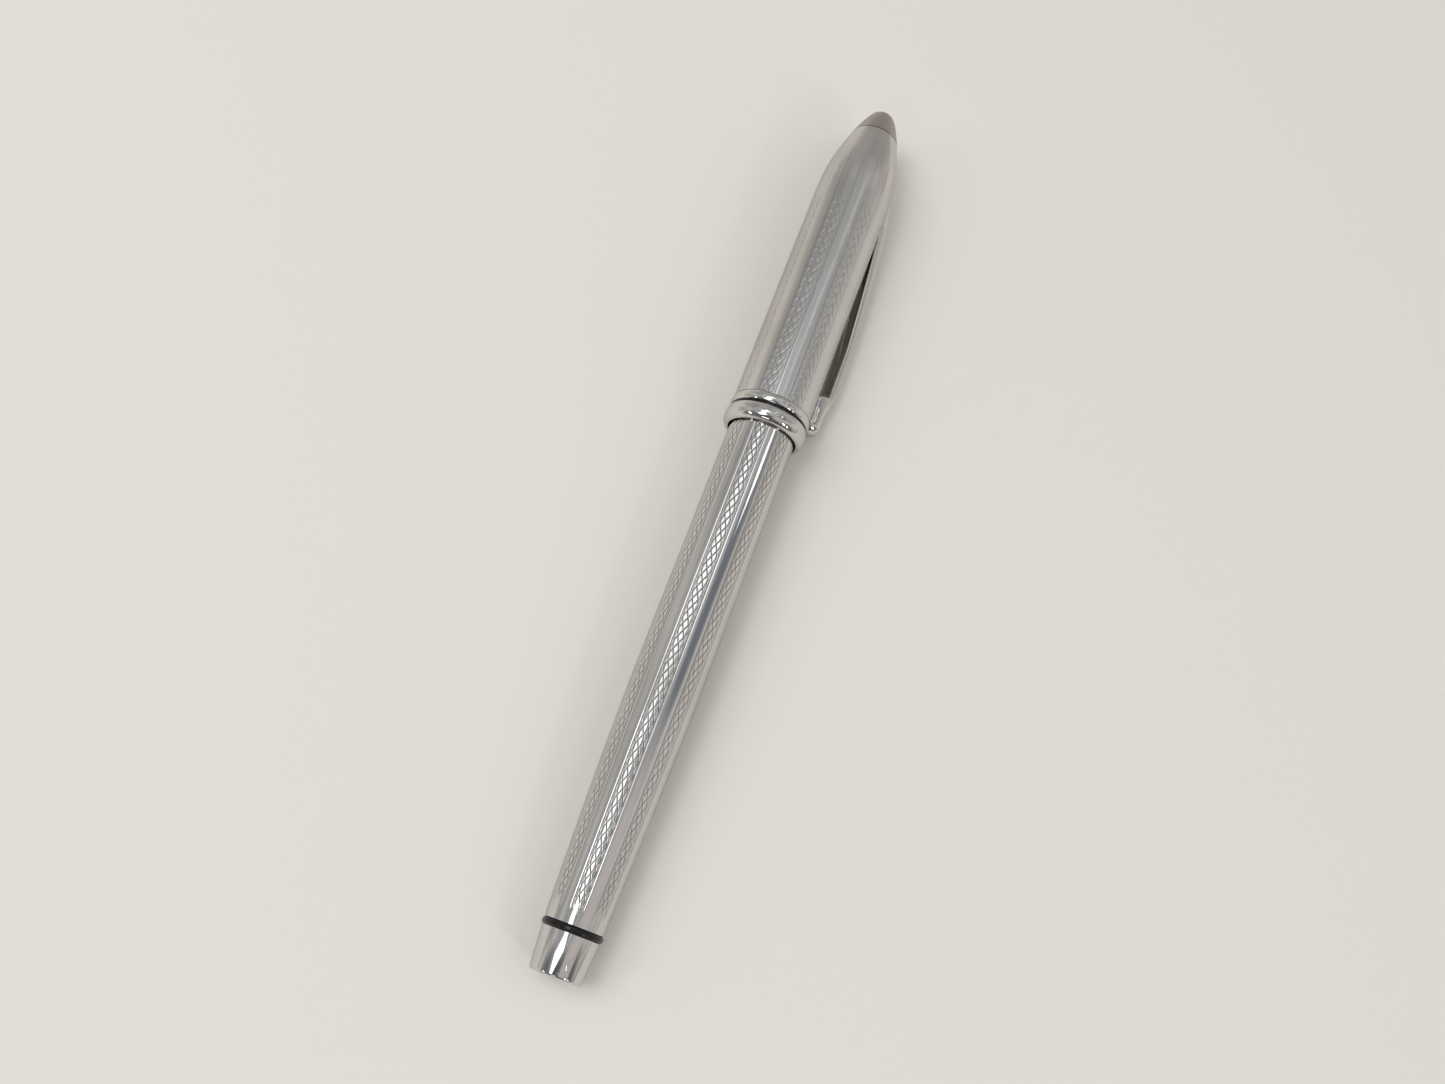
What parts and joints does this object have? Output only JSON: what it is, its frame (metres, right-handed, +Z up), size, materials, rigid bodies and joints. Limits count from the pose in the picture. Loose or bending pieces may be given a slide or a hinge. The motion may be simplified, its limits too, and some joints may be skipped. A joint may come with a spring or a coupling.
{
  "type": "rollerball pen",
  "caption": "Slim metal rollerball pen with an engraved barrel and pull-off cap, black inlay rings, a side clip and a screw-in refill section, lying on a table.",
  "frame": {"origin": "the middle of the pen's box, on the table it lies on", "axes": "+X along the pen from the tail towards the cap's finial, +Z up"},
  "size_m": [0.14, 0.0148, 0.0133],
  "materials": {
    "engraved_chrome": "polished plate with a fine engraved lattice",
    "chrome": "mirror polish",
    "black_lacquer": "gloss",
    "black_resin": "gloss",
    "brass": "turned",
    "spring_steel": "drawn wire",
    "refill_steel": "drawn",
    "ball_carbide": "lapped",
    "dark_plastic": "moulded",
    "liner_plastic": "moulded",
    "ink": "wet fibre",
    "seal_rubber": "soft"
  },
  "bodies": {
    "barrel": {"barrel_sleeve": "engraved_chrome", "barrel_liner": "brass", "tail_ring": "black_lacquer", "tail_plug": "chrome", "refill_spring": "spring_steel"},
    "refill": {"refill_tube": "refill_steel", "refill_rear_plug": "dark_plastic", "ink_core": "ink", "refill_collar": "dark_plastic", "tip_cone": "refill_steel"},
    "ball": {"tip_ball": "ball_carbide"},
    "section": {"thread_bush": "brass", "section_collar": "chrome", "section_grip": "black_resin", "nose_ring": "chrome"},
    "snap_ring": {"snap_ring": "spring_steel"},
    "cap": {"cap_tube": "engraved_chrome", "cap_lip": "chrome", "cap_inlay_ring": "black_lacquer", "cap_trim_ring": "chrome", "cap_liner": "liner_plastic", "tip_seal": "seal_rubber", "clip_retainer": "refill_steel", "finial": "chrome", "finial_stud": "brass"},
    "clip": {"clip": "chrome"}
  },
  "joints": [
    {"name": "refill_advance", "type": "slide", "parent": "barrel", "child": "refill", "axis": [0.9996, 0, 0.0279], "range_m": [0, 0.006], "deforming": ["refill_spring"]},
    {"name": "section_unscrew", "type": "hinge", "parent": "refill", "child": "section", "pos_m": [0.02004, 0.00116, 0.00651], "axis": [0.9996, 0, 0.0279], "range_deg": [0, 2160]},
    {"name": "ball_roll", "type": "hinge", "parent": "refill", "child": "ball", "pos_m": [0.05323, 0.00116, 0.00743], "axis": [0, 1, 0], "continuous": true},
    {"name": "cap_spin", "type": "hinge", "parent": "section", "child": "snap_ring", "pos_m": [0.01449, 0.00116, 0.00635], "axis": [0.9996, 0, 0.0279], "continuous": true},
    {"name": "cap_pull", "type": "slide", "parent": "snap_ring", "child": "cap", "axis": [0.9996, 0, 0.0279], "range_m": [0, 0.05]},
    {"name": "clip_flex", "type": "hinge", "parent": "cap", "child": "clip", "pos_m": [0.0527, -0.00268, 0.00487], "axis": [-0.0232, -0.5523, 0.8333], "range_deg": [0, 3], "stiffness_Nm_per_rad": 2.5, "springref_deg": -0.57}
  ],
  "couplings": [
    {"joint": "section_unscrew", "follows": "refill_advance", "rad_per_m": 6283.2}
  ]
}
